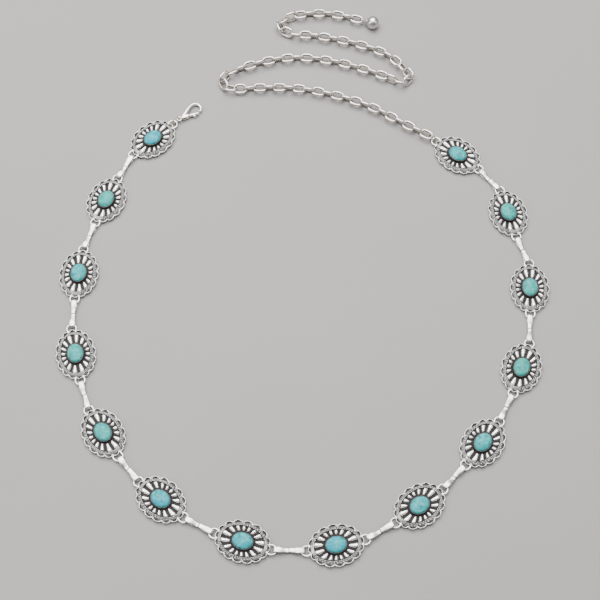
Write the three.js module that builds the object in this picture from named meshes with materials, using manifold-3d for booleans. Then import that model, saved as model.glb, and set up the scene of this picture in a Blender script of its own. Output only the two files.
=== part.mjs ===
// A concho belt laid out on a flat surface: cast oval conchos with cabochons, folded strap links,
// a lobster clasp at one end and a cable-chain extension with a ball at the other.
// Millimetres, +Z up, the surface at z = 0. Headings are degrees, counter-clockwise from +X.
import * as THREE from "three";
import { mergeVertices } from "three/addons/utils/BufferGeometryUtils.js";
import Module from "manifold-3d";

const wasm = await Module();
wasm.setup();

// Clearance between pieces that touch on the real belt
const gap = 0.3;

// Concho: the plate, its relief and the cast ring at each end
const conchoLength = 30.5;
const conchoWidth = 23;
const scallops = 16;
const scallopDepth = 1.1;
const undercut = 1.9;
const rimHeight = 2.4;
const borderWidth = 3.1;
const borderHeight = 3.2;
const petalInset = 0.4;
const petalFloor = 2.2;
const petalHeight = 3.4;
const bezelHeight = 4.1;
const bezelWall = 0.55;
const seatHeight = 2.9;
const eyeRadius = 3.2;
const eyeWire = 1.1;
const eyeThickness = 1.1;
const eyeLevel = 1.75;
const eyeOverhang = 0.65;
const eyeRoot = 0.5;

// Cabochon
const stoneLength = 11;
const stoneWidth = 8.6;
const stoneHeight = 2.8;
const stoneSides = 10;

// Strap link, a strip folded round the rings of two conchos
const linkSpan = 18.8;
const strapThickness = 0.6;
const strapWidth = 3.2;
const strapLoopWidth = 2.6;
const strapWaist = 2.3;

// Jump rings
const jumpRadius = 2.9;
const jumpWire = 0.8;
const jumpSides = 10;

// Extension chain
const chainWire = 1.3;
const chainLinkLength = 8.665;
const chainLinkWidth = 6.3;
const chainBite = 0.06;
const chainTwist = 45;
const chainLean = 12;
const wireSides = 5;

// End ball
const ballRadius = 4.1;
const capRadius = 1.9;
const capHeight = 1.2;
const ballEyeRadius = 2.1;
const ballEyeWire = 0.9;

// Lobster clasp: along x from its eye to the tip of the hook
const claspReach = 16.5;
const claspLevel = 2.6;
const claspThickness = 2.6;
const claspEyeRadius = 1.7;
const claspEyeWire = 0.8;
const neckWidth = 1.9;
const bowRadius = 4.1;
const bowOffset = 1.1;
const bowWire = 1.3;
const bowEnd = -75;
const pivotAlong = 5.0;
const pivotAcross = -0.7;
const pinRadius = 0.4;
const knuckleRadius = 1.2;
const cheekRadius = 1.35;
const cheekThickness = 0.6;
const leverWidth = 1.3;
const leverHeading = -16;
const thumbLength = 2.0;

// The way the belt lies, from the clasp to the chain: each concho's heading and that of the link after it
const lay = [
  { concho: -137, link: -117 },
  { concho: -111, link: -108 },
  { concho: -95, link: -91 },
  { concho: -77, link: -71 },
  { concho: -56, link: -50 },
  { concho: -38, link: -27 },
  { concho: -16, link: -2 },
  { concho: 11, link: 29 },
  { concho: 35, link: 46 },
  { concho: 51, link: 62 },
  { concho: 69, link: 84 },
  { concho: 87, link: 109 },
  { concho: 104, link: 129 },
  { concho: 142 },
];
const claspHeading = 34;
const claspRingHeading = 41;

// The way the chain lies, in millimetres from its first link's near end
const chainRoute = [
  [0, 0],
  [-18, 10.5],
  [-36, 21.5],
  [-58.5, 30],
  [-82.5, 35],
  [-106.5, 35.5],
  [-120, 34.5],
  [-130, 37.5],
  [-127.5, 44],
  [-106, 54],
  [-82, 58],
  [-58.5, 55],
  [-38, 48.5],
  [-26, 43.5],
  [-15, 39],
  [-10, 41.5],
  [-13, 47.5],
  [-24.5, 60],
  [-46, 69],
  [-69, 74.5],
  [-88.5, 77],
  [-94.5, 82.5],
  [-87, 89],
  [-70, 92],
  [-57, 91],
  [-38, 85.6],
];

const silver = new THREE.MeshStandardMaterial({ color: 0xb4b1aa, roughness: 0.34, metalness: 0.9 });
const brightSilver = new THREE.MeshStandardMaterial({ color: 0xd8d4cf, roughness: 0.22, metalness: 0.95 });
const paleGold = new THREE.MeshStandardMaterial({ color: 0xa79c74, roughness: 0.35, metalness: 0.9 });
const turquoise = new THREE.MeshStandardMaterial({ color: 0x82a9ac, roughness: 0.3, metalness: 0.0 });

const radians = THREE.MathUtils.degToRad;
const belt = new THREE.Group();

// Solids and geometries

function toSolid(geometry) {
  const plain = geometry.clone();
  plain.deleteAttribute("normal");
  plain.deleteAttribute("uv");
  const merged = mergeVertices(plain, 1e-4);
  return new wasm.Manifold(
    new wasm.Mesh({
      numProp: 3,
      vertProperties: new Float32Array(merged.attributes.position.array),
      triVerts: new Uint32Array(merged.index.array),
    }),
  );
}

function toGeometry(solid) {
  const mesh = solid.getMesh();
  const geometry = new THREE.BufferGeometry();
  geometry.setAttribute("position", new THREE.BufferAttribute(new Float32Array(mesh.vertProperties), 3));
  geometry.setIndex(new THREE.BufferAttribute(new Uint32Array(mesh.triVerts), 1));
  return geometry;
}

function join(geometries) {
  return toGeometry(geometries.map(toSolid).reduce((whole, solid) => whole.add(solid)));
}

function cut(geometry, tools) {
  return toGeometry(tools.map(toSolid).reduce((rest, tool) => rest.subtract(tool), toSolid(geometry)));
}

function addMesh(parent, name, geometry, material) {
  const mesh = new THREE.Mesh(geometry, material);
  mesh.name = name;
  parent.add(mesh);
  return mesh;
}

// An oval ring of count points; angle 0 is on the long axis
function oval(count, halfLength, halfWidth, z) {
  return Array.from({ length: count }, (unused, i) => {
    const angle = (2 * Math.PI * i) / count;
    return new THREE.Vector3(halfLength * Math.cos(angle), halfWidth * Math.sin(angle), z);
  });
}

// The same oval with its points spread evenly as seen from its middle
function evenOval(count, halfLength, halfWidth, z) {
  return Array.from({ length: count }, (unused, i) => {
    const bearing = (2 * Math.PI * i) / count;
    const radius = 1 / Math.hypot(Math.cos(bearing) / halfLength, Math.sin(bearing) / halfWidth);
    return new THREE.Vector3(radius * Math.cos(bearing), radius * Math.sin(bearing), z);
  });
}

// A closed solid through rings of points, listed from the bottom round to the last cap.
// A ring may have twice or half as many points as its neighbour.
function solidFromRings(rings) {
  const points = rings.flat();
  const starts = rings.map((ring, i) => rings.slice(0, i).reduce((sum, r) => sum + r.length, 0));
  const faces = [];
  const first = rings[0].length;
  const last = rings[rings.length - 1].length;
  for (let i = 1; i < first - 1; i++) faces.push(0, i + 1, i);
  for (let level = 0; level < rings.length - 1; level++) {
    const low = rings[level].length;
    const high = rings[level + 1].length;
    const a = (i) => starts[level] + (i % low);
    const b = (i) => starts[level + 1] + (i % high);
    for (let i = 0; i < Math.min(low, high); i++) {
      if (low === high) {
        faces.push(a(i), a(i + 1), b(i + 1), a(i), b(i + 1), b(i));
      } else if (low < high) {
        faces.push(a(i), b(2 * i + 1), b(2 * i));
        faces.push(a(i), a(i + 1), b(2 * i + 1));
        faces.push(a(i + 1), b(2 * i + 2), b(2 * i + 1));
      } else {
        faces.push(b(i), a(2 * i), a(2 * i + 1));
        faces.push(b(i), a(2 * i + 1), b(i + 1));
        faces.push(b(i + 1), a(2 * i + 1), a(2 * i + 2));
      }
    }
  }
  const top = starts[rings.length - 1];
  for (let i = 1; i < last - 1; i++) faces.push(top, top + i, top + i + 1);
  const geometry = new THREE.BufferGeometry().setFromPoints(points);
  geometry.setIndex(faces);
  return geometry;
}

// A closed wire along a flat loop of points, each wire section having one corner towards the inside
function wireLoop(loop, wire) {
  const count = loop.length;
  const points = [];
  const faces = [];
  loop.forEach((point, i) => {
    const before = loop[(i + count - 1) % count];
    const after = loop[(i + 1) % count];
    const along = after.clone().sub(before).normalize();
    const inward = new THREE.Vector3(-along.y, along.x, 0);
    const bend = Math.cos(after.clone().sub(point).angleTo(along));
    for (let k = 0; k < wireSides; k++) {
      const angle = (2 * Math.PI * k) / wireSides;
      const side = ((wire / 2) * Math.cos(angle)) / bend;
      points.push(point.clone().addScaledVector(inward, side));
      points[points.length - 1].z += (wire / 2) * Math.sin(angle);
      const next = (i + 1) % count;
      const other = (k + 1) % wireSides;
      const corner = [i * wireSides + k, next * wireSides + k, next * wireSides + other, i * wireSides + other];
      faces.push(corner[0], corner[2], corner[1], corner[0], corner[3], corner[2]);
    }
  });
  const geometry = new THREE.BufferGeometry().setFromPoints(points);
  geometry.setIndex(faces);
  return geometry;
}

// A flat shape with thickness, centred on z = 0
function plate(outline, holes, thickness) {
  const shape = new THREE.Shape(outline);
  holes.forEach((hole) => shape.holes.push(new THREE.Path(hole)));
  const geometry = new THREE.ExtrudeGeometry(shape, { depth: thickness, bevelEnabled: false });
  return geometry.translate(0, 0, -thickness / 2);
}

function arc(x, y, radius, from, to, steps) {
  return Array.from({ length: steps + 1 }, (unused, i) => {
    const angle = radians(from + ((to - from) * i) / steps);
    return new THREE.Vector2(x + radius * Math.cos(angle), y + radius * Math.sin(angle));
  });
}

// Concho and its stone

const halfLength = conchoLength / 2;
const halfWidth = conchoWidth / 2;
const eyeAlong = halfLength + eyeOverhang;
const eyeInner = eyeRadius - eyeWire;
const seatLength = stoneLength / 2 + gap;
const seatWidth = stoneWidth / 2 + gap;

function alternate(count, ridge, valley) {
  return ridge.map((point, i) => (i % 2 === count ? point : valley[i]));
}

function conchoGeometry() {
  const double = 2 * scallops;
  const peaks = oval(double, halfLength, halfWidth, rimHeight);
  const dips = oval(double, halfLength - scallopDepth, halfWidth - scallopDepth, rimHeight);
  const petalLength = halfLength - borderWidth - petalInset;
  const petalWidth = halfWidth - borderWidth - petalInset;
  const petals = evenOval(double, petalLength, petalWidth, petalHeight);
  const channels = evenOval(double, petalLength, petalWidth, petalFloor);
  const body = solidFromRings([
    oval(scallops, halfLength - undercut, halfWidth - undercut, 0),
    alternate(0, peaks, dips),
    evenOval(scallops, halfLength - borderWidth, halfWidth - borderWidth, borderHeight),
    alternate(1, petals, channels),
    oval(scallops, seatLength + bezelWall, seatWidth + bezelWall, (petalHeight + petalFloor) / 2),
    oval(scallops, seatLength + bezelWall / 2, seatWidth + bezelWall / 2, bezelHeight),
    oval(scallops / 2, seatLength + bezelWall / 4, seatWidth + bezelWall / 4, seatHeight),
  ]);
  // The cast rings' ends go on into the undercut rim, behind its first dips
  const root = (halfLength - scallopDepth) * Math.cos(Math.PI / scallops) - eyeRoot - eyeAlong;
  const outer = arc(0, 0, eyeRadius, 130, -130, 4);
  const inner = arc(0, 0, eyeInner / Math.cos(radians(130 / 4)), -130, 130, 4);
  [outer[0], outer[4], inner[0], inner[4]].forEach((end) => (end.x = root));
  const eyes = [0, 180].map((turn) =>
    plate([...outer, ...inner], [], eyeThickness)
      .translate(eyeAlong, 0, eyeLevel)
      .rotateZ(radians(turn)),
  );
  return join([body, ...eyes]);
}

function stoneGeometry() {
  const length = stoneLength / 2;
  const width = stoneWidth / 2;
  return solidFromRings([
    oval(stoneSides, length * 0.95, width * 0.95, 0),
    oval(stoneSides, length, width, stoneHeight * 0.3),
    oval(stoneSides / 2, length * 0.7, width * 0.7, stoneHeight * 0.85),
    oval(stoneSides / 2, length * 0.3, width * 0.3, stoneHeight),
  ]).translate(0, 0, seatHeight + gap);
}

// Strap link: the side view of the folded strip, then its width from place to place

function linkGeometry() {
  const half = linkSpan / 2;
  const hollowHeight = eyeThickness / 2 + gap;
  const loopHeight = hollowHeight + strapThickness;
  const near = half - eyeRadius - gap;
  const far = half - Math.sqrt((eyeInner - gap) ** 2 - (strapLoopWidth / 2) ** 2);
  const end = far + strapThickness;
  const flank = [
    [end, hollowHeight * 0.8],
    [far, loopHeight],
    [near - strapThickness, loopHeight],
    [0, strapThickness],
    [strapThickness - near, loopHeight],
    [-far, loopHeight],
    [-end, hollowHeight * 0.8],
  ];
  const outline = [...flank, ...flank.map(([x, z]) => [x, -z]).reverse()].map(([x, z]) => new THREE.Vector2(x, z));
  const holes = [1, -1].map((side) =>
    [
      [near, -hollowHeight],
      [far, -hollowHeight],
      [far, hollowHeight],
      [near, hollowHeight],
    ].map(([x, z]) => new THREE.Vector2(side * x, z)),
  );
  const geometry = plate(outline, holes, 1).rotateX(Math.PI / 2);
  const position = geometry.attributes.position;
  for (let i = 0; i < position.count; i++) {
    const along = Math.abs(position.getX(i));
    const shoulder = near - strapThickness;
    const width =
      along < shoulder
        ? THREE.MathUtils.lerp(strapWaist, strapWidth, along / shoulder)
        : THREE.MathUtils.lerp(strapWidth, strapLoopWidth, (along - shoulder) / (end - shoulder));
    position.setY(i, position.getY(i) * width);
  }
  return geometry.translate(0, 0, eyeLevel);
}

// Jump ring, standing on edge along x
const jumpInner = jumpRadius - jumpWire;
function jumpRingGeometry() {
  const loop = (jumpRadius - jumpWire / 2) / Math.cos(Math.PI / jumpSides);
  const ring = wireLoop(oval(jumpSides, loop, loop, 0), jumpWire);
  return ring.rotateZ(Math.PI / 2 - Math.PI / jumpSides).rotateX(Math.PI / 2);
}

// A jump ring hangs on a concho's end ring; its hole is clear of a wire at a height by this much each way
const jumpClear = jumpInner - gap;
const jumpLevel = eyeLevel - eyeThickness / 2 + Math.sqrt(jumpClear ** 2 - (eyeWire / 2) ** 2);
function jumpReach(height, wire) {
  return Math.sqrt(jumpClear ** 2 - (Math.abs(jumpLevel - height) + wire / 2) ** 2);
}

// Extension chain

const chainPitch = chainLinkLength - 2 * chainWire + chainBite;

function chainLinkGeometry() {
  const halfWide = (chainLinkWidth - chainWire) / 2;
  const straight = (chainLinkLength - chainWire) / 2 - halfWide;
  const right = [-64, -22, 22, 64].map((angle) => arc(straight, 0, halfWide, angle, angle, 1)[0]);
  right.forEach((point) => (point.x += halfWide * (1 - Math.cos(radians(22)))));
  const left = right.map(({ x, y }) => new THREE.Vector2(-x, -y));
  const side = new THREE.Vector2(0, halfWide);
  const loop = [...right, side, ...left, side.clone().negate()].map(({ x, y }) => new THREE.Vector3(x, y, 0));
  return wireLoop(loop, chainWire);
}

// Joints between links, at even spacing along the smoothed route
function marchChain(start) {
  const route = chainRoute.map(([x, y]) => new THREE.Vector3(start.x + x, start.y + y, start.z));
  const fine = new THREE.CatmullRomCurve3(route).getPoints(60 * route.length);
  const joints = [start.clone()];
  for (const point of fine) {
    const last = joints[joints.length - 1];
    const distance = last.distanceTo(point);
    if (distance >= chainPitch) joints.push(last.clone().lerp(point, chainPitch / distance));
  }
  return joints;
}

function chainGeometry(joints) {
  const links = [];
  const heading = (i) => Math.atan2(joints[i + 1].y - joints[i].y, joints[i + 1].x - joints[i].x);
  for (let i = 0; i < joints.length - 1; i++) {
    const before = heading(Math.max(i - 2, 0));
    const after = heading(Math.min(i + 2, joints.length - 2));
    const turn = Math.abs(Math.atan2(Math.sin(after - before), Math.cos(after - before)));
    const twist = radians(chainTwist) * THREE.MathUtils.smoothstep(turn, 0.5, 1.6);
    const lean = radians(chainLean) * Math.cos(heading(i));
    const roll = (i % 2 === 0 ? 0 : Math.PI / 2 + lean) - twist;
    const middle = joints[i].clone().lerp(joints[i + 1], 0.5);
    const place = new THREE.Object3D();
    place.position.copy(middle);
    place.rotation.set(roll, 0, heading(i), "ZYX");
    place.updateMatrix();
    links.push(chainLinkGeometry().applyMatrix4(place.matrix));
  }
  return join(links);
}

// End ball, with its middle at the origin and its cap and standing eye towards -x
const ballEyeMean = ballEyeRadius - ballEyeWire / 2;
const ballNeck = ballRadius + capHeight + ballEyeMean;
function ballGeometry() {
  const ball = new THREE.SphereGeometry(ballRadius, 12, 7).rotateX(Math.PI / 2);
  const cap = new THREE.CylinderGeometry(capRadius * 0.7, capRadius, capHeight * 2, 8);
  cap.rotateZ(Math.PI / 2).translate(-ballRadius, 0, 0);
  const loop = ballEyeMean / Math.cos(Math.PI / 8);
  const eye = wireLoop(oval(8, loop, loop, 0), ballEyeWire).rotateX(Math.PI / 2);
  return join([ball, cap, eye.translate(-ballNeck, 0, 0)]);
}

// Lobster clasp: the eye is at the origin, the hook reaches along x and bows towards +y

const bow = new THREE.Vector2(claspReach - bowRadius, bowOffset);
const pivot = new THREE.Vector2(pivotAlong, pivotAcross);

function disc(radius, thickness, sides) {
  return new THREE.CylinderGeometry(radius, radius, thickness, sides).rotateX(Math.PI / 2);
}

function claspBodyGeometry() {
  const neck = claspEyeRadius - claspEyeWire / 2;
  const outline = [
    new THREE.Vector2(neck, neckWidth / 2),
    ...arc(bow.x, bow.y, bowRadius, 115, bowEnd, 10),
    ...arc(bow.x, bow.y, bowRadius - bowWire, bowEnd, 118, 8),
    new THREE.Vector2(pivot.x + cheekRadius / 2, pivot.y + cheekRadius * 1.2),
    ...arc(pivot.x, pivot.y, cheekRadius, 40, -100, 4),
    new THREE.Vector2(neck, -neckWidth / 2),
  ].reverse();
  const slotRadius = knuckleRadius + gap;
  const slot = plate(
    [
      ...arc(pivot.x, pivot.y, slotRadius / Math.cos(radians(20)), 90, 250, 4),
      new THREE.Vector2(pivot.x + slotRadius, pivot.y - 2 * slotRadius),
      new THREE.Vector2(pivot.x + slotRadius, pivot.y + slotRadius),
    ],
    [],
    claspThickness - 2 * cheekThickness,
  );
  const pin = disc(pinRadius, claspThickness, 8).translate(pivot.x, pivot.y, 0);
  const loop = (claspEyeRadius - claspEyeWire / 2) / Math.cos(Math.PI / 10);
  const eye = wireLoop(oval(10, loop, loop, 0), claspEyeWire);
  return join([cut(plate(outline, [], claspThickness), [slot]), pin, eye]);
}

// The lever, with its pivot at the origin and its bar along x
const leverReach = Math.hypot(
  bow.x + (bowRadius - bowWire) * Math.cos(radians(bowEnd)) - pivot.x,
  bow.y + (bowRadius - bowWire) * Math.sin(radians(bowEnd)) - pivot.y,
) - gap;

function leverGeometry() {
  const half = leverWidth / 2;
  const start = cheekRadius + gap;
  const thumb = leverReach * 0.62;
  const bar = [
    [start, -half],
    [thumb - 1.3, -half],
    [thumb - 0.6, -half - thumbLength * 0.7],
    [thumb + 0.3, -half - thumbLength],
    [thumb + 0.7, -half - thumbLength * 0.8],
    [thumb + 0.2, -half],
    [leverReach - 0.3, -half],
    [leverReach, 0],
    [leverReach - 0.3, half],
    [start, half],
  ].map(([x, y]) => new THREE.Vector2(x, y));
  const web = [
    [0, -half],
    [start + half, -half],
    [start + half, half],
    [0, half],
  ].map(([x, y]) => new THREE.Vector2(x, y));
  const thin = claspThickness - 2 * cheekThickness - 2 * gap;
  const knuckle = join([disc(knuckleRadius, thin, 10), plate(web, [], thin), plate(bar, [], claspThickness * 0.8)]);
  return cut(knuckle, [disc((pinRadius + gap) / Math.cos(Math.PI / 8), claspThickness, 8)]);
}

// Place everything, link by link, starting at the first concho

const cast = conchoGeometry();
const cabochon = stoneGeometry();
const strap = linkGeometry();
const direction = (heading) => new THREE.Vector3(Math.cos(radians(heading)), Math.sin(radians(heading)), 0);
const number = (i) => String(i + 1).padStart(2, "0");
const cursor = new THREE.Vector3();
const conchos = [];

lay.forEach(({ concho, link }, i) => {
  if (i > 0) cursor.addScaledVector(direction(concho), eyeAlong);
  const place = new THREE.Group();
  place.position.copy(cursor);
  place.rotation.z = radians(concho);
  addMesh(place, `concho_${number(i)}`, cast, silver);
  addMesh(place, `stone_${number(i)}`, cabochon, turquoise);
  belt.add(place);
  conchos.push(place);
  if (link === undefined) return;
  cursor.addScaledVector(direction(concho), eyeAlong).addScaledVector(direction(link), linkSpan / 2);
  const strapMesh = addMesh(belt, `link_${number(i)}`, strap, brightSilver);
  strapMesh.position.copy(cursor);
  strapMesh.rotation.z = radians(link);
  cursor.addScaledVector(direction(link), linkSpan / 2);
});

// A jump ring hooked through a concho's end ring; returns its middle
function addJumpRing(name, eye, heading) {
  const centre = eye.clone().addScaledVector(direction(heading), eyeRadius - eyeWire / 2);
  centre.z = jumpLevel;
  const mesh = addMesh(belt, name, jumpRingGeometry(), paleGold);
  mesh.position.copy(centre);
  mesh.rotation.z = radians(heading);
  return centre;
}

// The clasp, at the first concho's free end
const firstHeading = lay[0].concho + 180;
const firstEye = conchos[0].position.clone().addScaledVector(direction(firstHeading), eyeAlong);
const claspRing = addJumpRing("clasp_ring", firstEye, claspRingHeading);
const claspEyeInner = claspEyeRadius - claspEyeWire;
const clasp = new THREE.Group();
const claspOffset = jumpReach(claspLevel, claspEyeWire) + claspEyeInner;
clasp.position.copy(claspRing).addScaledVector(direction(claspRingHeading), claspOffset);
clasp.position.z = claspLevel;
clasp.rotation.set(0, Math.asin((claspLevel - claspThickness / 2) / claspReach), radians(claspHeading), "ZYX");
addMesh(clasp, "clasp_body", claspBodyGeometry(), brightSilver);
const lever = addMesh(clasp, "clasp_lever", leverGeometry(), brightSilver);
lever.position.set(pivot.x, pivot.y, 0);
lever.rotation.z = radians(leverHeading);
belt.add(clasp);

// The chain, at the last concho's free end
const lastHeading = lay[lay.length - 1].concho;
const lastEye = conchos[conchos.length - 1].position.clone().addScaledVector(direction(lastHeading), eyeAlong);
const chainRing = addJumpRing("chain_ring", lastEye, lastHeading);
const chainLevel = chainLinkWidth / 2;
const chainOffset = jumpReach(chainLevel, chainWire) - chainBite / 2;
const chainStart = chainRing.clone().addScaledVector(direction(lastHeading), chainOffset);
chainStart.z = chainLevel;
const joints = marchChain(chainStart);
addMesh(belt, "extension_chain", chainGeometry(joints), silver);

// The ball, leaning so that its eye meets the last link
const chainEnd = joints[joints.length - 1];
const endDirection = chainEnd.clone().sub(joints[joints.length - 2]).normalize();
const ballLean = Math.asin((ballRadius - chainLevel) / ballNeck);
const ballOffset = ballEyeMean - ballEyeWire / 2 - gap - chainBite / 2 + ballNeck * Math.cos(ballLean);
const ball = addMesh(belt, "end_ball", ballGeometry(), brightSilver);
ball.position.copy(chainEnd).addScaledVector(endDirection, ballOffset);
ball.position.z = ballRadius;
ball.rotation.set(0, -ballLean, Math.atan2(endDirection.y, endDirection.x), "ZYX");

// The origin is the middle of the belt's extent, on the surface it lies on
belt.updateMatrixWorld(true);
const extent = new THREE.Box3().setFromObject(belt, true);
const middle = extent.getCenter(new THREE.Vector3());
belt.position.set(-middle.x, -middle.y, -extent.min.z);

export default belt;
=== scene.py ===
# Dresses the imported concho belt: cast oval conchos with turquoise cabochons, folded strap links,
# a lobster clasp at one end, and a cable chain with a ball at the other.
# Shapes are worked out in millimetres, and add_piece turns them into Blender's metres. A patch is part of a
# mesh: its points, its groups of faces and each point's tone, which says how dark the metal is there.
import math
import bpy
import numpy as np
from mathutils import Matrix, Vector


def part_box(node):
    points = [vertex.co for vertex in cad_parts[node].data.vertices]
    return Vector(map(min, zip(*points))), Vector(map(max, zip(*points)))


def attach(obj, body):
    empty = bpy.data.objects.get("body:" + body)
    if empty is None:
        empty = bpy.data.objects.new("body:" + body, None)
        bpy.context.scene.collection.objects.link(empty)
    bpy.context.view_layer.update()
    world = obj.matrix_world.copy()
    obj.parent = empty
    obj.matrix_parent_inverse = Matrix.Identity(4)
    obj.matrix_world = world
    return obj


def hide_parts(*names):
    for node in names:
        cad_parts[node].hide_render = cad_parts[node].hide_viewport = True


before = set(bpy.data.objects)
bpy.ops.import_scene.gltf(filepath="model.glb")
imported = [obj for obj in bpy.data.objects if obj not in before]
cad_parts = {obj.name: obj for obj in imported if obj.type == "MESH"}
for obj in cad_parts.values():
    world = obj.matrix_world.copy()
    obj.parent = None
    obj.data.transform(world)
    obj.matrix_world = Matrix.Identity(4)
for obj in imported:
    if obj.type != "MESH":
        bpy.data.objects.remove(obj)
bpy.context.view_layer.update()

mm = 0.001

# Concho outline and back, from its middle along its long axis and across, with heights above the floor
half_length = 15.25
half_width = 11.5
scallops = 16
scallop_depth = 1.1
arch_bend = 0.94
columns_per_scallop = 20
back_middle = 9.0
back_edge = 2.1
back_tone = 0.25

# The undercut edge from the back to the rim: share of the way in to the back's edge, height and darkness
undercut = [(1, 0, 0.25), (0.9, 0.06, 0.3), (0.5, 0.7, 0.35), (0.15, 1.3, 0.35), (0, 1.7, 0.15)]

# Rim wire, crescent hollows and border
rim_wire = 0.56
rim_foot = 2.0
rim_rise = 0.42
hollow_width = 1.05
hollow_span = 0.62
hollow_gap = 0.05
hollow_depth = 0.7
hollow_tone = 0.95
border_start = 1.7
border_end = 3.1
border_low = 2.45
border_high = 3.1
border_rows = 36
border_ridges = 2
ridge_rise = 0.12
strokes_per_scallop = 3
stroke_slant = 4
stroke_depth = 0.1
border_tone = 0.2
groove_tone = 0.46
stroke_tone = 0.6
beside_wire_tone = 0.5

# The border turns plain at its two ends as the cosine of the angle grows from the first to the second
plain_start = 0.955
plain_full = 0.985

# Petals, with their widths as shares of the space that one petal has
petal_rows = 36
petal_floor = 2.1
petal_rise = 1.15
petal_inset = 0.12
petal_foot = 0.4
petal_tip_round = 0.85
petal_heel_round = 1.5
petal_heel_width = 0.43
petal_tip_gain = 0.21
petal_end_gain = 0.05
petal_least_width = 0.06
petal_gap_to_border = 0.05

# The bezel's section: how far in from its outside, height and darkness. The darkness is painted shade,
# the dark ring of shade round the stone
bezel_wall = 0.5
bezel_top = 4.1
seat_level = 2.9
bezel_section = [
    (0.02, 2.4, 1.0), (0.06, 3.4, 0.95), (0.13, 3.9, 0.85), (0.25, bezel_top, 0.8),
    (0.38, 4.02, 0.85), (0.44, 3.8, 1.0), (0.46, seat_level, 1.0), (2.5, seat_level, 1.0),
]

# The cast ring at each end of a concho
eye_along = 15.9
eye_radius = 3.2
eye_wire = 1.1
eye_level = 1.75
eye_root = 12.7
eye_half_arc = 130

# Cabochon, with its girdle as a share of its height
stone_half_length = 5.5
stone_half_width = 4.3
stone_base = 3.2
stone_rise = 2.8
stone_girdle = 0.24
stone_foot_size = 0.95

# Strap link
link_half_span = 9.4
strap_thickness = 0.6
strap_waist = 2.3
strap_shoulder = 3.2
strap_end = 2.6
strap_gap = 0.3
strap_end_narrowing = 0.3
strap_squareness = 0.62
fold_length = 1.0
run_gap = 0.02
flat_half_length = 0.6
# Dark at the strap's seam, a dark joint, and painted shade on the faces inside its loops
seam_and_loop_shade_tone = 0.9
seam_half_gap = 0.07
seam_sideways = 0.14
seam_lift = 0.05

# Jump rings, chain and ball, with angles in degrees. The chain's wire is drawn thicker than in the solids.
wire_sides = 12
jump_radius = 2.9
jump_wire = 0.8
jump_cut = 2
chain_wire = 1.3
chain_wire_drawn = 1.6
chain_link_length = 8.665
chain_link_width = 6.3
chain_bite = 0.06
chain_twist = 45
chain_lean = 19
# Painted shade on the inside of each chain link's oval, on the wire's side that faces the hole
chain_inner_shade_tone = 0.8
steps_per_stretch = 60
ball_radius = 4.1
cap_radius = 1.9
cap_height = 1.2
ball_eye_radius = 2.1
ball_eye_wire = 0.9

# Lobster clasp, along x from its eye to the tip of the hook
clasp_thickness = 2.6
clasp_level = 2.6
clasp_reach = 16.5
clasp_eye_radius = 1.7
clasp_eye_wire = 0.8
bow_radius = 4.1
bow_offset = 1.1
bow_wire = 1.3
bow_start = 118
bow_end = -75
pivot_along = 5.0
pivot_across = -0.7
cheek_stretch = 1.9
cheek_shift = -0.9
cheek_swing = -8
lever_heading = -16
lever_half_height = 0.95
lever_bar_start = 1.8
lever_thumb_share = 0.62

# The hook's middle line from the eye's neck to the bow
hook_spine = [(1.2, 0.0, 0), (2.3, 0.15, 0), (3.6, 0.6, 0), (5.2, 1.35, 0), (7.0, 2.4, 0), (8.8, 3.35, 0)]

# The hook's half width in its own plane and upright, at shares of the way from the eye's neck to the tip
hook_widths = [
    (0, 0.75, 0.7), (0.12, 1.0, 1.1), (0.28, 1.3, 1.28), (0.45, 0.95, 1.2),
    (0.6, 0.85, 1.1), (0.9, 0.8, 1.0), (0.97, 0.74, 0.95), (1, 0.62, 0.75),
]

# Round parts of the hinge: levels above the clasp's middle plane, and the radius at each
cheek_section = [(0.68, 1.2), (0.7, 1.32), (0.85, 1.36), (1.0, 1.25), (1.1, 1.0), (1.15, 0.6)]
pin_section = [(-1.26, 0.25), (-1.24, 0.36), (-1.1, 0.4), (1.1, 0.4), (1.24, 0.36), (1.26, 0.25)]
knuckle_section = [(-0.36, 0.9), (-0.34, 1.05), (-0.2, 1.15), (0.2, 1.15), (0.34, 1.05), (0.36, 0.9)]

# Headings of the conchos and of the links after them, in degrees counter-clockwise from +X
concho_headings = [-137, -111, -95, -77, -56, -38, -16, 11, 35, 51, 69, 87, 104, 142]
link_headings = [-117, -108, -91, -71, -50, -27, -2, 29, 46, 62, 84, 109, 129]
clasp_heading = 34
clasp_ring_heading = 41
last_heading = 142

# How green each stone is, from 0 for blue to 1
stone_greenness = [0.1, 0.9, 0.5, 0.8, 0.7, 0.15, 0.3, 0.2, 0.5, 0.6, 0.9, 0.85, 0.8, 0.5]

# The way the chain lies, from its first link's near end
chain_route = [
    (0, 0), (-18, 10.5), (-36, 21.5), (-58.5, 30), (-82.5, 35), (-106.5, 35.5), (-120, 34.5),
    (-130, 37.5), (-127.5, 44), (-106, 54), (-82, 58), (-58.5, 55), (-38, 48.5), (-26, 43.5),
    (-15, 39), (-10, 41.5), (-13, 47.5), (-24.5, 60), (-46, 69), (-69, 74.5), (-88.5, 77),
    (-94.5, 82.5), (-87, 89), (-70, 92), (-57, 91), (-38, 85.6),
]


# Surfaces on grids


def smooth(start, end, value):
    """An even S-curve of the value, 0 up to start and 1 from end on. Start may be the greater of the two."""
    part = np.clip((value - start) / (end - start), 0, 1)
    return part * part * (3 - 2 * part)


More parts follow.
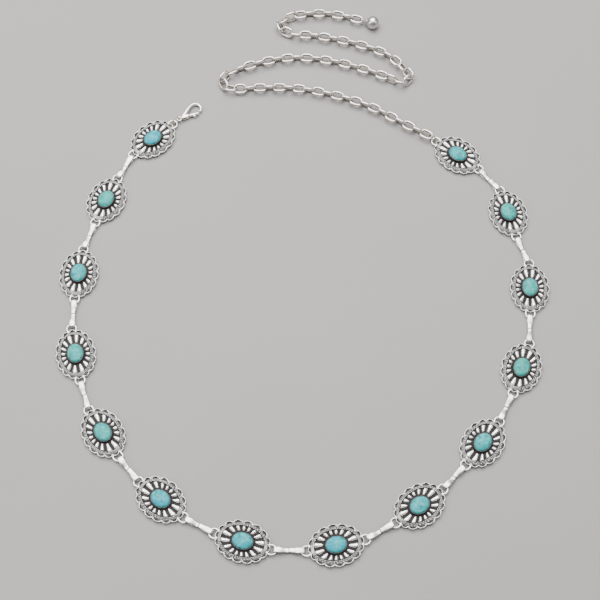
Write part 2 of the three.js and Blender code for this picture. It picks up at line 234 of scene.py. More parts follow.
def turned(heading, lean=0.0, roll=0.0):
    """The matrices that roll about x, then lean about y, then turn about z, by degrees."""
    degrees = np.broadcast_arrays(heading, lean, roll)
    yaw, dip, spin = (np.radians(np.asarray(angle, float)) for angle in degrees)
    zero, one = np.zeros_like(yaw), np.ones_like(yaw)

    def matrix(*rows):
        return np.moveaxis(np.array(rows), (0, 1), (-2, -1))

    cos, sin = np.cos(yaw), np.sin(yaw)
    about_z = matrix([cos, -sin, zero], [sin, cos, zero], [zero, zero, one])
    cos, sin = np.cos(dip), np.sin(dip)
    about_y = matrix([cos, zero, sin], [zero, one, zero], [-sin, zero, cos])
    cos, sin = np.cos(spin), np.sin(spin)
    about_x = matrix([one, zero, zero], [zero, cos, -sin], [zero, sin, cos])
    return about_z @ about_y @ about_x


def quads(rows, columns, rows_meet):
    """The faces between the rows of a grid whose columns go all the way round."""
    row, column = np.meshgrid(np.arange(rows if rows_meet else rows - 1), np.arange(columns), indexing="ij")
    above, beside = (row + 1) % rows, (column + 1) % columns
    corners = [
        row * columns + column,
        row * columns + beside,
        above * columns + beside,
        above * columns + column,
    ]
    return np.stack(corners, -1).reshape(-1, 4)


def hoop(rings, tone=None):
    """A patch closed both ways through rings of points, such as a wire ring."""
    rows, columns = rings.shape[:2]
    shade = np.zeros((rows, columns)) if tone is None else tone
    return rings.reshape(-1, 3), [quads(rows, columns, True)], shade.ravel()


def skin(rings, tone=None):
    """A patch through rings of points, closed at each end by a fan to the end ring's middle."""
    rows, columns = rings.shape[:2]
    shade = np.zeros((rows, columns)) if tone is None else tone
    here = np.arange(columns)
    after = (here + 1) % columns
    first, last = rows * columns, rows * columns + 1
    start_fan = np.column_stack([np.full(columns, first), after, here])
    end_fan = np.column_stack([np.full(columns, last), here + first - columns, after + first - columns])
    points = np.concatenate([rings.reshape(-1, 3), rings[:1].mean(1), rings[-1:].mean(1)])
    tones = np.concatenate([shade.ravel(), shade[:1].mean(1), shade[-1:].mean(1)])
    return points, [quads(rows, columns, False), start_fan, end_fan], tones


def sweep(path, side, half_side, half_out, sides, power=1.0, closed=False):
    """Rings round a flat path. Each is an oval, half_side long along the side direction and half_out long
    square to it and to the path; a power below 1 makes the oval a rounded rectangle."""
    if closed:
        along = np.roll(path, -1, 0) - np.roll(path, 1, 0)
    else:
        along = np.gradient(path, axis=0)
    along = along / np.linalg.norm(along, axis=1, keepdims=True)
    side = np.broadcast_to(np.asarray(side, float), path.shape)
    out = np.cross(along, side)
    angle = np.linspace(0, 2 * np.pi, sides, endpoint=False) + np.pi / sides
    across = np.sign(np.cos(angle)) * np.abs(np.cos(angle)) ** power
    up = np.sign(np.sin(angle)) * np.abs(np.sin(angle)) ** power
    half_side = np.broadcast_to(np.asarray(half_side, float), len(path))[:, None, None]
    half_out = np.broadcast_to(np.asarray(half_out, float), len(path))[:, None, None]
    sideways = half_side * across[None, :, None] * side[:, None]
    return path[:, None] + sideways + half_out * up[None, :, None] * out[:, None]


def rounded(place, start, end):
    """Full size from start to end of a bar, with a quarter oval towards each of its ends at 0 and 1."""
    left = np.maximum(1 - place / start, (place - end) / (1 - end))
    return np.sqrt(np.clip(1 - np.clip(left, 0, 1) ** 2, 0.002, 1))


def lathe(along, radius, sides):
    """Rings about the x axis, each at its place along it and with its own radius."""
    angle = np.linspace(0, 2 * np.pi, sides, endpoint=False)
    rings = np.zeros((len(along), sides, 3))
    rings[..., 0] = along[:, None]
    rings[..., 1] = radius[:, None] * np.cos(angle)
    rings[..., 2] = radius[:, None] * np.sin(angle)
    return rings


def upright_lathe(section, sides):
    """Rings about the z axis through a section's levels and radii."""
    level, radius = np.array(section, float).T
    return lathe(level, radius, sides)[..., [1, 2, 0]]


def oval_rings(length, width, angle, height, evenness=1.0):
    """Rings of points on ovals of given half length and half width. With evenness 0 they lie at the oval's
    own angles, with 1 at even bearings from its middle: there the radius is one over the root of
    (cos/length) squared plus (sin/width) squared."""
    radius = 1 / np.hypot(np.cos(angle) / length, np.sin(angle) / width)
    rings = np.zeros((*height.shape, 3))
    rings[..., 0] = (length * (1 - evenness) + radius * evenness) * np.cos(angle)
    rings[..., 1] = (width * (1 - evenness) + radius * evenness) * np.sin(angle)
    rings[..., 2] = height
    return rings


def arc(middle, radius, start, end, count):
    """Points on a level arc, from one heading to another in degrees."""
    angle = np.radians(np.linspace(start, end, count))
    along = middle[0] + radius * np.cos(angle)
    across = middle[1] + radius * np.sin(angle)
    return np.column_stack([along, across, np.zeros(count)])


def smooth_route(points, steps):
    """Points along the route that a centripetal Catmull-Rom curve makes: on each stretch, a cubic whose end
    slopes weigh the neighbouring stretches by the square roots of their lengths."""
    points = np.asarray(points, float)
    whole = np.concatenate([2 * points[:1] - points[1:2], points, 2 * points[-1:] - points[-2:-1]])
    place = np.linspace(0, len(points) - 1, steps + 1)
    index = np.minimum(place.astype(int), len(points) - 2)
    part = (place - index)[:, None]
    before, here, there, after = (whole[index + step] for step in range(4))
    coming, going, leaving = here - before, there - here, after - there
    first, middle, last = (np.sqrt(np.linalg.norm(way, axis=1))[:, None] for way in (coming, going, leaving))
    leave = (coming / first - (there - before) / (first + middle) + going / middle) * middle
    arrive = (going / middle - (after - here) / (middle + last) + leaving / last) * middle
    square = -3 * here + 3 * there - 2 * leave - arrive
    cube = 2 * here - 2 * there + leave + arrive
    return here + leave * part + square * part**2 + cube * part**3


def moved(patch, place, turn=None):
    """A patch turned by a matrix and then shifted."""
    points, faces, tones = patch
    points = points if turn is None else points @ turn.T
    return points + np.asarray(place, float), faces, tones


def placed(patches, place, turn):
    """A piece's patches, turned and shifted as one."""
    return [moved(patch, place, turn) for patch in patches]


def add_piece(name, patches, material, body, replaced):
    """Makes one mesh of the patches, with their tones kept as the attribute tone, in place of CAD nodes."""
    starts = np.cumsum([0] + [len(points) for points, faces, tones in patches])
    faces = [face + start for (points, groups, tones), start in zip(patches, starts) for face in groups]
    points = np.concatenate([patch[0] for patch in patches]) * mm
    corners = np.concatenate([face.ravel() for face in faces])
    sizes = np.concatenate([np.full(len(face), face.shape[1]) for face in faces])
    mesh = bpy.data.meshes.new(name)
    mesh.vertices.add(len(points))
    mesh.vertices.foreach_set("co", points.astype(np.float32).ravel())
    mesh.loops.add(len(corners))
    mesh.loops.foreach_set("vertex_index", corners.astype(np.int32))
    mesh.polygons.add(len(sizes))
    mesh.polygons.foreach_set("loop_start", (np.cumsum(sizes) - sizes).astype(np.int32))
    mesh.update(calc_edges=True)
    mesh.polygons.foreach_set("use_smooth", np.ones(len(sizes), bool))
    tone = mesh.attributes.new("tone", "FLOAT", "POINT")
    tone.data.foreach_set("value", np.concatenate([patch[2] for patch in patches]).astype(np.float32))
    mesh.materials.append(material)
    piece = bpy.data.objects.new(name, mesh)
    bpy.context.scene.collection.objects.link(piece)
    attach(piece, body)
    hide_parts(*replaced)


def foot_of(node):
    """The point on the floor under the middle of a CAD node's box, in millimetres."""
    low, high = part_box(node)
    return np.array((low + high) / 2) / mm * (1, 1, 0)


# Finishes


class Finish:
    """A material and short ways to add nodes to it. Patterns are in the piece's own metres."""

    def __init__(self, name):
        self.material = bpy.data.materials.new(name)
        self.material.use_nodes = True
        self.tree = self.material.node_tree
        self.shader = self.tree.nodes["Principled BSDF"]
        self.place = self.tree.nodes.new("ShaderNodeTexCoord").outputs["Object"]

    def link(self, source, socket):
        """Feeds an output into a socket."""
        self.tree.links.new(source, socket)

    def tone(self):
        """The tone kept on the mesh."""
        node = self.tree.nodes.new("ShaderNodeAttribute")
        node.attribute_name = "tone"
        return node.outputs["Fac"]

    def noise(self, scale, detail):
        """Cloudy noise with about scale blotches to the metre, and detail finer layers on them."""
        node = self.tree.nodes.new("ShaderNodeTexNoise")
        node.inputs["Scale"].default_value = scale
        node.inputs["Detail"].default_value = detail
        self.link(self.place, node.inputs["Vector"])
        return node.outputs["Fac"]

    def spread(self, value, low, high, out_low, out_high):
        """A value's range low to high stretched to out_low to out_high, and held there outside it."""
        node = self.tree.nodes.new("ShaderNodeMapRange")
        node.inputs["From Min"].default_value = low
        node.inputs["From Max"].default_value = high
        node.inputs["To Min"].default_value = out_low
        node.inputs["To Max"].default_value = out_high
        self.link(value, node.inputs["Value"])
        return node.outputs["Result"]

    def mix(self, factor, first, second):
        """A colour between two colours, or two outputs, by a factor."""
        node = self.tree.nodes.new("ShaderNodeMix")
        node.data_type = "RGBA"
        self.link(factor, node.inputs["Factor"])
        for socket, colour in ((node.inputs[6], first), (node.inputs[7], second)):
            if isinstance(colour, tuple):
                socket.default_value = (*colour, 1)
            else:
                self.link(colour, socket)
        return node.outputs[2]

    def add(self, first, second):
        """The sum of two outputs."""
        node = self.tree.nodes.new("ShaderNodeMath")
        self.link(first, node.inputs[0])
        self.link(second, node.inputs[1])
        return node.outputs[0]

    def bump(self, height, distance, strength):
        """Raises the surface by the height pattern, distance being in metres."""
        node = self.tree.nodes.new("ShaderNodeBump")
        node.inputs["Distance"].default_value = distance
        node.inputs["Strength"].default_value = strength
        self.link(height, node.inputs["Height"])
        self.link(node.outputs["Normal"], self.shader.inputs["Normal"])


def metal(name, bright, dull, dark, roughness, grain):
    """Polished metal, duller in cloudy patches and blackened where the mesh's tone says, with fine specks,
    about grain of them to the metre."""
    finish = Finish(name)
    patches = finish.noise(260, 4)
    tone = finish.tone()
    clean = finish.mix(finish.spread(patches, 0.35, 0.7, 0, 1), bright, dull)
    finish.link(finish.mix(tone, clean, dark), finish.shader.inputs["Base Color"])
    finish.link(finish.spread(tone, 0.2, 1, 1, 0.55), finish.shader.inputs["Metallic"])
    cloudy = finish.spread(patches, 0.3, 0.75, roughness * 0.8, roughness * 1.25)
    finish.link(finish.add(cloudy, finish.spread(tone, 0, 1, 0, 0.35)), finish.shader.inputs["Roughness"])
    finish.bump(finish.noise(grain, 5), 0.00006, 0.5)
    return finish.material


def turquoise_stone():
    """Turquoise: bluer or greener as the mesh's tone says, cloudy, with fine pale grains and dark flecks."""
    blue, green = (0.004, 0.27, 0.42), (0.03, 0.285, 0.215)
    milky, pale, fleck = (0.025, 0.36, 0.35), (0.15, 0.54, 0.47), (0.025, 0.12, 0.12)
    finish = Finish("turquoise")
    clouds = finish.spread(finish.noise(190, 3), 0.36, 0.64, 0, 0.6)
    grains = finish.spread(finish.noise(620, 4), 0.46, 0.66, 0, 0.55)
    flecks = finish.spread(finish.noise(430, 5), 0.56, 0.68, 0, 0.75)
    body = finish.mix(finish.tone(), blue, green)
    body = finish.mix(clouds, body, milky)
    body = finish.mix(grains, body, pale)
    body = finish.mix(flecks, body, fleck)
    finish.link(body, finish.shader.inputs["Base Color"])
    finish.link(finish.spread(grains, 0, 0.55, 0.38, 0.5), finish.shader.inputs["Roughness"])
    finish.shader.inputs["Specular IOR Level"].default_value = 0.14
    finish.bump(finish.noise(700, 4), 0.00008, 0.4)
    return finish.material


antique_silver = metal(
    "antique_silver", bright=(0.88, 0.86, 0.84), dull=(0.72, 0.71, 0.70), dark=(0.014, 0.012, 0.011),
    roughness=0.28, grain=3200,
)
strap_silver = metal(
    "strap_silver", bright=(0.72, 0.685, 0.65), dull=(0.46, 0.435, 0.41), dark=(0.03, 0.026, 0.024),
    roughness=0.27, grain=2200,
)
chain_silver = metal(
    "chain_silver", bright=(0.86, 0.79, 0.73), dull=(0.66, 0.60, 0.55), dark=(0.02, 0.018, 0.015),
    roughness=0.3, grain=2600,
)
clasp_silver = metal(
    "clasp_silver", bright=(0.88, 0.84, 0.79), dull=(0.72, 0.69, 0.65), dark=(0.02, 0.018, 0.016),
    roughness=0.26, grain=2000,
)
ball_silver = metal(
    "ball_silver", bright=(0.74, 0.72, 0.70), dull=(0.62, 0.60, 0.58), dark=(0.02, 0.018, 0.016),
    roughness=0.32, grain=1800,
)
pale_gold = metal(
    "pale_gold", bright=(0.62, 0.56, 0.40), dull=(0.48, 0.43, 0.30), dark=(0.03, 0.025, 0.015),
    roughness=0.28, grain=2400,
)
turquoise = turquoise_stone()


# Concho and cabochon

scallop_pitch = 2 * np.pi / scallops
bezel_half_length = stone_half_length + bezel_wall
bezel_half_width = stone_half_width + bezel_wall


def rim_and_border(angle):
    """Rings and tones of the flat back, its undercut edge of sixteen arches, a raised wire along each arch
    with a crescent hollow behind it, and a rising border of fine ridges crossed by short strokes. An arch is
    part of a circle over one lobe, and inward is the distance from the concho's oval."""
    lobe = np.abs((angle / scallop_pitch + 0.5) % 1 - 0.5) * 2
    valley = math.sqrt(1 - arch_bend**2)
    arch = (np.sqrt(1 - (arch_bend * lobe) ** 2) - valley) / (1 - valley)
    outline = scallop_depth * (1 - arch)
    plain_end = smooth(plain_start, plain_full, np.abs(np.cos(angle)))

    edge_rows = [outline + (back_edge - outline) * share for share, height, tone in undercut]
    edge_heights = [np.full_like(angle, height) for share, height, tone in undercut]
    edge_tones = [np.full_like(angle, tone) for share, height, tone in undercut]

    share = np.linspace(0, 1, border_rows)[:, None]
    inward = outline * (1 - share) + border_end * share
    wire = np.sqrt(np.clip(1 - np.abs((inward - outline) / (rim_wire / 2) - 1) ** 3, 0, 1))
    rim = rim_foot + rim_rise * wire
    from_hollow = inward - outline - rim_wire / 2 - hollow_width / 2 - hollow_gap
    pit = smooth(1.12, 0.8, np.hypot(from_hollow / (hollow_width / 2), lobe / hollow_span))
    across = (inward - border_start) / (border_end - border_start)
    ridges = 0.5 - 0.5 * np.cos(2 * np.pi * border_ridges * np.clip(across, 0, 1))
    ridges = ridges + (1 - ridges) * plain_end
    strokes = 0.5 + 0.5 * np.cos(strokes_per_scallop * scallops * angle + stroke_slant * across)
    strokes = strokes * (1 - plain_end)
    border = border_low + (border_high - border_low) * across + ridge_rise * (ridges - 0.5) * 2
    border = border - stroke_depth * strokes
    edge = smooth(-0.15, 0.05, across)
    border = rim_foot + (border - rim_foot) * edge
    height = np.maximum(rim, border) - hollow_depth * pit

    hollow = hollow_tone * smooth(0.04, 0.42, pit)
    grooves = (border_tone + groove_tone * (1 - ridges) + stroke_tone * strokes) * edge
    beside_wire = beside_wire_tone * smooth(0.8, 0.3, wire) * smooth(0.2, 0.5, inward - outline) * (1 - edge)
    tone = np.clip(np.maximum(np.maximum(hollow, grooves), beside_wire), 0, 1)

    rows = np.concatenate([np.full_like(angle, back_middle), *edge_rows, inward])
    heights = np.concatenate([np.zeros_like(angle), *edge_heights, height])
    tones = np.concatenate([np.full_like(angle, back_tone), *edge_tones, tone])
    evenness = np.concatenate([np.zeros(1 + len(undercut)), smooth(0.6, 1, share[:, 0])])[:, None]
    return oval_rings(half_length - rows, half_width - rows, angle, heights, evenness), tones


def petals(angle):
    """Rings and tones of sixteen petals between the border and the bezel, each domed across and rounded at
    its tip and heel by superellipses. The columns of a petal follow its sides, so that its edges are clean,
    and spread out between petals. Out runs from 1 at the border to 0 at the bezel."""
    end_power = 2.4
    side_power = 2.6
    top_power = 2.2
    outer_length = half_length - border_end - petal_gap_to_border
    outer_width = half_width - border_end - petal_gap_to_border
    out = 0.5 + 0.5 * np.cos(np.linspace(0, np.pi, petal_rows))[:, None]
    length = bezel_half_length + (outer_length - bezel_half_length) * out
    width = bezel_half_width + (outer_width - bezel_half_width) * out
    change_across = outer_width - outer_length - bezel_half_width + bezel_half_length
    reach = (outer_length - bezel_half_length) + change_across * np.sin(angle) ** 2
    from_border = (1 - out) * reach - petal_inset
    from_bezel = out * reach - petal_foot
    tip = 1 - np.clip(from_border / petal_tip_round, 0, 1)
    heel = 1 - np.clip(from_bezel / petal_heel_round, 0, 1)
    full = (1 - np.maximum(tip, heel) ** end_power) ** (1 / end_power)

    side = (angle / scallop_pitch % 1 - 0.5) * 2
    across = np.abs(side)
    side_column = 0.6
    half = (petal_heel_width + petal_tip_gain * out + petal_end_gain * out * np.cos(angle) ** 2) * full
    half = np.maximum(half, petal_least_width)
    outside = np.clip(np.maximum(-from_border / petal_inset, -from_bezel / petal_foot), 0, 1)
    half = half + (side_column - half) * outside
    beyond = half + (across - side_column) / (1 - side_column) * (1 - half)
    followed = np.where(across <= side_column, across / side_column * half, beyond)
    petal_angle = scallop_pitch * (np.floor(angle / scallop_pitch) + 0.5 + 0.5 * np.sign(side) * followed)
    dome = np.clip(1 - (across / side_column) ** side_power, 0, 1) ** (1 / top_power) * full
    height = petal_floor + petal_rise * dome * (0.82 + 0.18 * out)
    return oval_rings(length, width, petal_angle, height), 1 - smooth(0.1, 0.5, dome)


def bezel(angle):
    """Rings and tones of the wall that holds the stone and of the seat under it, from their section.
    The tones paint the wall dark with the shade that rings the stone.
    """
    inset, level, tone = (column[:, None] for column in np.array(bezel_section).T)
    height = np.repeat(level, angle.size, 1)
    rings = oval_rings(bezel_half_length - inset, bezel_half_width - inset, angle, height)
    return rings, np.repeat(tone, angle.size, 1)


def cast_ring():
    """A round wire eye at the concho's +x end, its feet inside the casting."""
    loop = arc((eye_along, 0), eye_radius - eye_wire / 2, eye_half_arc, -eye_half_arc, 40)
    feet = loop[[0, -1]] * (0, 1, 1) + (eye_root, 0, 0)
    path = np.concatenate([feet[:1], loop, feet[1:]]) + (0, 0, eye_level)
    return skin(sweep(path, (0, 0, 1), eye_wire / 2, eye_wire / 2, 14))


def concho_patches():
    """The casting: one skin from the back to the stone's seat, and a cast ring at each end."""
    angle = np.linspace(0, 2 * np.pi, scallops * columns_per_scallop, endpoint=False)[None, :]
    rings, tones = zip(rim_and_border(angle), petals(angle), bezel(angle))
    ring = cast_ring()
    return [skin(np.concatenate(rings), np.concatenate(tones)), ring, moved(ring, (0, 0, 0), turned(180))]


def stone_patches(greenness):
    """The cabochon: an oval that widens a little up to its girdle, and above it narrows along a quarter of a
    superellipse to the crown. Its tone is its greenness."""
    angle = np.linspace(0, 2 * np.pi, 72, endpoint=False)[None, :]
    crown = stone_girdle + (1 - stone_girdle) * np.sin(np.linspace(0.08, 1, 16) * np.pi / 2)
    rise = np.concatenate([[0, stone_girdle / 2, stone_girdle], crown])[:, None]
    part = np.clip((rise - stone_girdle) / (1 - stone_girdle), 0, 1)
    below = stone_foot_size + (1 - stone_foot_size) * rise / stone_girdle
    size = np.where(rise < stone_girdle, below, np.sqrt(np.clip(1 - part**2.1, 0, 1)) + 1e-3)
    height = np.repeat(stone_base + stone_rise * rise, angle.size, 1)
    rings = oval_rings(stone_half_length * size, stone_half_width * size, angle, height, evenness=0.0)
    return [skin(rings, np.full(rings.shape[:2], greenness))]


# Strap link


def link_patches():
    """A strip folded into a flat loop: its two runs lie together at the waist and part to go round a ring at
    each end, and its own ends meet on top in a thin seam, a little out of line."""
    clear = eye_wire / 2 + strap_gap
    near = link_half_span - eye_radius - strap_gap
    far = link_half_span - math.sqrt((eye_radius - eye_wire - strap_gap) ** 2 - (strap_end / 2) ** 2)
    bend = clear + strap_thickness / 2
    turn = far + strap_thickness / 2 - fold_length

    def lift(along):
        """How far a run's middle lies above or below the rings' level."""
        part = smooth(flat_half_length, near - 0.1, np.abs(along))
        return strap_thickness / 2 + run_gap + (bend - strap_thickness / 2 - run_gap) * part

    run = np.linspace(seam_half_gap, turn, 26)
    fold = np.radians(np.linspace(90, -90, 15)[1:-1])
    end_x, end_z = turn + fold_length * np.cos(fold), bend * np.sin(fold)
    under = np.linspace(turn, -turn, 50)
    x = np.concatenate([run, end_x, under, -end_x[::-1], -run[::-1]])
    z = np.concatenate([lift(run), end_z, -lift(under), end_z[::-1], lift(run)[::-1]])

    from_middle = np.abs(x)
    waist = strap_waist + (strap_shoulder - strap_waist) * smooth(0, near, from_middle)
    head = strap_shoulder + (strap_end - strap_shoulder) * smooth(near, far + strap_thickness, from_middle)
    width = np.where(from_middle < near, waist, head)
    width = width * (1 - strap_end_narrowing * smooth(far - 0.3, far + strap_thickness, from_middle))
    place = np.linspace(0, 1, len(x))
    seam = smooth(0.12, 0.0, place) - smooth(0.88, 1.0, place)
    path = np.column_stack([x, seam_sideways * seam, z + seam_lift * seam * (seam > 0) + eye_level])
    rings = sweep(path, (0, 1, 0), width / 2, strap_thickness / 2, 20, strap_squareness)

    # Dark at the seam, a dark joint, and painted shade on the faces inside the loops round the rings
    tone = np.zeros(rings.shape[:2])
    tone[[0, -1]] = seam_and_loop_shade_tone
    in_loop = (from_middle > near) & (from_middle < far)
    facing_in = np.abs(rings[..., 2] - eye_level) < clear
    return [skin(rings, np.where(in_loop[:, None] & facing_in, seam_and_loop_shade_tone, tone))]


# Jump rings

jump_clear = jump_radius - jump_wire - strap_gap
jump_level = eye_level - eye_wire / 2 + math.sqrt(jump_clear**2 - (eye_wire / 2) ** 2)


def jump_ring_patches():
    """A round wire ring standing on edge along x, cut through once."""
    circle = arc((0, 0), jump_radius - jump_wire / 2, 90 + jump_cut, 450 - jump_cut, 56)[:, [0, 2, 1]]
    return [skin(sweep(circle, (0, 1, 0), jump_wire / 2, jump_wire / 2, wire_sides))]


def jump_reach(height, wire):
    """How far from a jump ring's middle a level wire at a height lies when it hangs in the ring."""
    return math.sqrt(jump_clear**2 - (abs(jump_level - height) + wire / 2) ** 2)


# Chain

chain_pitch = chain_link_length - 2 * chain_wire + chain_bite


def chain_joints(start):
    """Places where links meet, each one pitch straight on from the last towards the smoothed route."""
    fine = smooth_route(np.array(chain_route) + start[:2], steps_per_stretch * len(chain_route))
    joints = [np.array(start[:2])]
    index = 0
    while True:
        distance = np.linalg.norm(fine[index:] - joints[-1], axis=1)
        beyond = np.flatnonzero(distance >= chain_pitch)
        if not len(beyond):
            return np.array(joints)
        index += beyond[0]
        joints.append(joints[-1] + (fine[index] - joints[-1]) * chain_pitch / distance[beyond[0]])
        index += 1


def chain_patches(joints):
    """Oval wire links, flat and on edge in turn, each leaning out of its plane where the chain bends, and
    with painted shade on the inside of the oval. A link's middle line is a circle pulled apart along its
    length."""
    bend = (chain_link_width - chain_wire) / 2
    straight = (chain_link_length - chain_wire) / 2 - bend
    half_wire = chain_wire_drawn / 2
    angle = np.linspace(0, 2 * np.pi, 28, endpoint=False)
    shift = straight * np.clip(np.cos(angle) * 3, -1, 1)
    path = np.column_stack([shift + bend * np.cos(angle), bend * np.sin(angle), 0 * angle])
    outwards = np.column_stack([np.cos(angle), np.sin(angle), 0 * angle])
    link = sweep(path, (0, 0, 1), half_wire, half_wire, wire_sides, closed=True)
    # Painted shade on the side of each wire that faces the link's hole
    outer = np.einsum("nsi,ni->ns", link - path[:, None], outwards) / half_wire
    points, faces, tones = hoop(link, chain_inner_shade_tone * smooth(-0.25, -0.85, outer))

    step = np.diff(joints, axis=0)
    heading = np.arctan2(step[:, 1], step[:, 0])
    count = len(heading)
    number = np.arange(count)
    change = heading[np.minimum(number + 2, count - 1)] - heading[np.maximum(number - 2, 0)]
    change = np.abs(np.arctan2(np.sin(change), np.cos(change)))
    on_edge = number % 2 * (90 + chain_lean * np.cos(heading))
    roll = on_edge - chain_twist * smooth(0.5, 1.6, change)
    level = (chain_link_width + chain_wire_drawn - chain_wire) / 2
    middle = np.column_stack([(joints[1:] + joints[:-1]) / 2, np.full(count, level)])
    links = np.einsum("nij,pj->npi", turned(np.degrees(heading), 0, roll), points) + middle[:, None]
    all_faces = (faces[0][None] + (number * len(points))[:, None, None]).reshape(-1, 4)
    return [(links.reshape(-1, 3), [all_faces], np.tile(tones, count))]


# Ball

ball_eye_mean = ball_eye_radius - ball_eye_wire / 2
cap_end = ball_radius + cap_height
ball_neck = cap_end + ball_eye_mean


def ball_patches():
    """A sphere turned about x whose cap steps in towards -x, dark where they meet, and an upright wire eye
    beyond it."""
    seat = math.asin(cap_radius / ball_radius)
    around = np.linspace(0.02, math.pi - seat, 44)[::-1]
    cap_start = ball_radius * math.cos(seat)
    cap = np.array([
        (cap_end, 0.9), (cap_end, 1.25), (cap_end - 0.12, 1.38), (ball_radius + 0.4, 1.62),
        (ball_radius + 0.1, cap_radius + 0.05), (cap_start + 0.18, cap_radius + 0.12),
        (cap_start + 0.06, cap_radius + 0.05),
    ])
    along = np.concatenate([-cap[:, 0], ball_radius * np.cos(around)])
    radius = np.concatenate([cap[:, 1], ball_radius * np.sin(around)])
    tone = np.zeros((len(along), 64))
    tone[len(cap) - 2:len(cap) + 1] = 0.5
    circle = arc((-ball_neck, 0), ball_eye_mean, 0, 360, 33)[:-1, [0, 2, 1]]
    eye = hoop(sweep(circle, (0, 1, 0), ball_eye_wire / 2, ball_eye_wire / 2, wire_sides, closed=True))
    return [skin(lathe(along, radius, 64), tone), eye]


# Clasp

bow = np.array([clasp_reach - bow_radius, bow_offset])
pivot = np.array([pivot_along, pivot_across])
bow_tip = arc(bow, bow_radius - bow_wire, bow_end, bow_end, 1)[0, :2]
lever_reach = float(np.hypot(*(bow_tip - pivot))) - strap_gap


def clasp_body_patches():
    """The hook: a tapering rounded bar from the eye's neck up over the hinge and round the bow, with a cheek
    each side of the hinge, the pin, and the eye."""
    loop = arc(bow, bow_radius - bow_wire / 2, bow_start, bow_end, 40)
    path = smooth_route(np.concatenate([hook_spine, loop[::6], loop[-1:]]), 110)
    place = np.linspace(0, 1, len(path))
    stations, in_plane, upright = np.array(hook_widths).T
    full = rounded(place, 0.01, 0.965)
    half_upright = np.interp(place, stations, upright) * full
    half_in_plane = np.interp(place, stations, in_plane) * full
    hook = skin(sweep(path, (0, 0, 1), half_upright, half_in_plane, 18, 0.8))
    cheek = upright_lathe(cheek_section, 40) * (cheek_stretch, 1, 1) + (cheek_shift, 0, 0)
    hinge = (*pivot, 0)
    cheeks = [moved(skin(cheek * side), hinge, turned(cheek_swing)) for side in ((1, 1, 1), (1, -1, -1))]
    pin = moved(skin(upright_lathe(pin_section, 20)), hinge)
    circle = arc((0, 0), clasp_eye_radius - clasp_eye_wire / 2, 0, 360, 37)[:-1]
    eye = hoop(sweep(circle, (0, 0, 1), clasp_eye_wire / 2, clasp_eye_wire / 2, wire_sides, closed=True))
    return [hook, *cheeks, pin, eye]


def lever_patches():
    """The sprung lever: a bar that closes the hook, a round knuckle at the pivot, a curved thumb tab, and a
    thin web that joins the bar to the knuckle between the cheeks."""
    place = 0.5 - 0.5 * np.cos(np.linspace(0, np.pi, 30))
    path = np.column_stack([lever_bar_start + (lever_reach - lever_bar_start) * place, 0 * place, 0 * place])
    full = rounded(place, 0.05, 0.93)
    bar = skin(sweep(path, (0, 0, 1), lever_half_height * full, (1.05 - 0.3 * place) * full, 16, 0.85))
    knuckle = skin(upright_lathe(knuckle_section, 32))
    thumb = lever_reach * lever_thumb_share
    tab = smooth_route([
        (thumb - 0.9, -0.3, 0), (thumb - 0.45, -0.95, 0), (thumb - 0.05, -1.55, 0), (thumb + 0.35, -2.2, 0),
    ], 24)
    place = np.linspace(0, 1, len(tab))
    full = rounded(place, 0.01, 0.7)
    thumb_tab = skin(sweep(tab, (0, 0, 1), lever_half_height * full, (0.75 - 0.2 * place) * full, 14, 0.85))
    web = skin(sweep(np.array([(0.2, 0, 0), (2.2, 0, 0)]), (0, 0, 1), 0.36, 0.6, 12, 0.6))
    return [bar, knuckle, thumb_tab, web]


# The belt, built where the frame's solids lie

casting = concho_patches()
for number, (heading, greenness) in enumerate(zip(concho_headings, stone_greenness), 1):
    centre = foot_of(f"concho_{number:02d}")
    turn = turned(heading)
    add_piece(f"cast_concho_{number:02d}", placed(casting, centre, turn),
              antique_silver, "belt", [f"concho_{number:02d}"])
    add_piece(f"cabochon_{number:02d}", placed(stone_patches(greenness), centre, turn),
              turquoise, "belt", [f"stone_{number:02d}"])

strap = link_patches()
for number, heading in enumerate(link_headings, 1):
    add_piece(f"strap_link_{number:02d}", placed(strap, foot_of(f"link_{number:02d}"), turned(heading)),
              strap_silver, "belt", [f"link_{number:02d}"])

jump_ring = jump_ring_patches()
for place, heading in (("clasp", clasp_ring_heading), ("chain", last_heading)):
    centre = foot_of(f"{place}_ring") + (0, 0, jump_level)
    add_piece(f"{place}_jump_ring", placed(jump_ring, centre, turned(heading)),
              pale_gold, "belt", [f"{place}_ring"])

ahead = turned(last_heading) @ (1, 0, 0)
first_link_reach = jump_reach(chain_link_width / 2, chain_wire) - chain_bite / 2
joints = chain_joints(foot_of("chain_ring") + ahead * first_link_reach)
add_piece("cable_chain", chain_patches(joints), chain_silver, "belt", ["extension_chain"])

last_step = joints[-1] - joints[-2]
last_step = last_step / np.linalg.norm(last_step)
ball_lean = math.degrees(math.asin((ball_radius - chain_link_width / 2) / ball_neck))
ball_reach = ball_eye_mean - ball_eye_wire / 2 - strap_gap - chain_bite / 2
ball_offset = ball_reach + ball_neck * math.cos(math.radians(ball_lean))
ball_place = (*(joints[-1] + last_step * ball_offset), ball_radius)
ball_turn = turned(math.degrees(math.atan2(last_step[1], last_step[0])), -ball_lean)
add_piece("end_bead", placed(ball_patches(), ball_place, ball_turn),
          ball_silver, "belt", ["end_ball"])

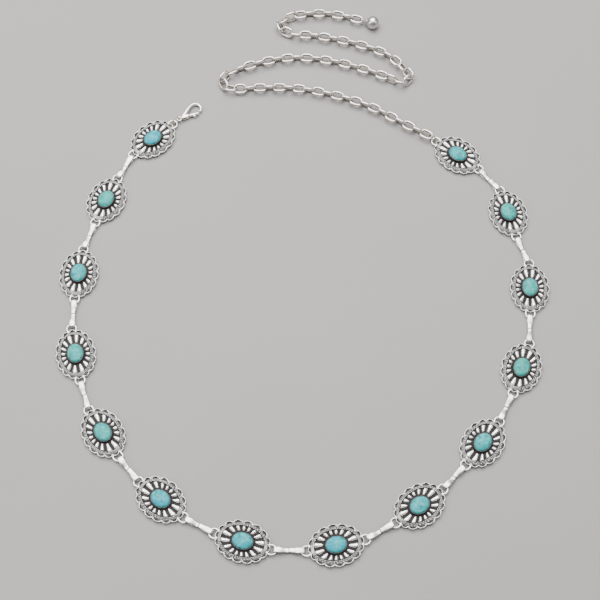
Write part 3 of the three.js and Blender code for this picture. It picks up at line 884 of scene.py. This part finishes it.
clasp_step = jump_reach(clasp_level, clasp_eye_wire) + (clasp_eye_radius - clasp_eye_wire)
clasp_place = foot_of("clasp_ring") + (0, 0, clasp_level)
clasp_place = clasp_place + turned(clasp_ring_heading) @ (clasp_step, 0, 0)
nose_down = math.degrees(math.asin((clasp_level - clasp_thickness / 2) / clasp_reach))
clasp_turn = turned(clasp_heading, nose_down)
add_piece("clasp_hook", placed(clasp_body_patches(), clasp_place, clasp_turn),
          clasp_silver, "belt", ["clasp_body"])
lever_place = clasp_place + clasp_turn @ (*pivot, 0)
lever_turn = clasp_turn @ turned(lever_heading)
add_piece("clasp_thumb_lever", placed(lever_patches(), lever_place, lever_turn),
          clasp_silver, "lever", ["clasp_lever"])


# Floor, light and camera


def pale_floor():
    """A wide pale sheet under the belt."""
    bpy.ops.mesh.primitive_plane_add(size=6)
    floor = bpy.context.object
    floor.name = "floor"
    finish = Finish("pale_paper")
    paper = finish.mix(finish.noise(9, 2), (0.275, 0.267, 0.255), (0.295, 0.286, 0.274))
    finish.link(paper, finish.shader.inputs["Base Color"])
    finish.shader.inputs["Roughness"].default_value = 0.7
    floor.data.materials.append(finish.material)


def softbox(name, place, size, watts):
    """A square soft light, turned towards the middle of the belt."""
    light = bpy.data.lights.new(name, "AREA")
    light.size = size
    light.energy = watts
    lamp = bpy.data.objects.new(name, light)
    bpy.context.scene.collection.objects.link(lamp)
    lamp.location = place
    lamp.rotation_euler = lamp.location.to_track_quat("Z", "Y").to_euler()


pale_floor()
softbox("overhead", (-0.12, 0.45, 1.2), size=1.35, watts=52)
softbox("left_side", (-1.1, -0.3, 0.7), size=0.6, watts=6)
softbox("right_side", (1.2, -0.2, 0.9), size=0.5, watts=3)

world = bpy.data.worlds.new("studio")
bpy.context.scene.world = world
world.use_nodes = True
sky = world.node_tree.nodes["Background"]
sky.inputs["Color"].default_value = (0.95, 0.97, 1.0, 1)
sky.inputs["Strength"].default_value = 0.27

# The photograph's viewpoint: from the front, 66.5 degrees up, about 0.7 m away
view_elevation = 66.5
view_distance = 0.696
view_centre = (-0.0022, -0.0242, 0)
lens = bpy.data.cameras.new("camera")
lens.lens = 72
lens.sensor_width = 36
camera = bpy.data.objects.new("camera", lens)
bpy.context.scene.collection.objects.link(camera)
tilt = math.radians(view_elevation)
camera.location = (
    view_centre[0],
    view_centre[1] - view_distance * math.cos(tilt),
    view_centre[2] + view_distance * math.sin(tilt),
)
camera.rotation_euler = (math.pi / 2 - tilt, 0, 0)
bpy.context.scene.camera = camera
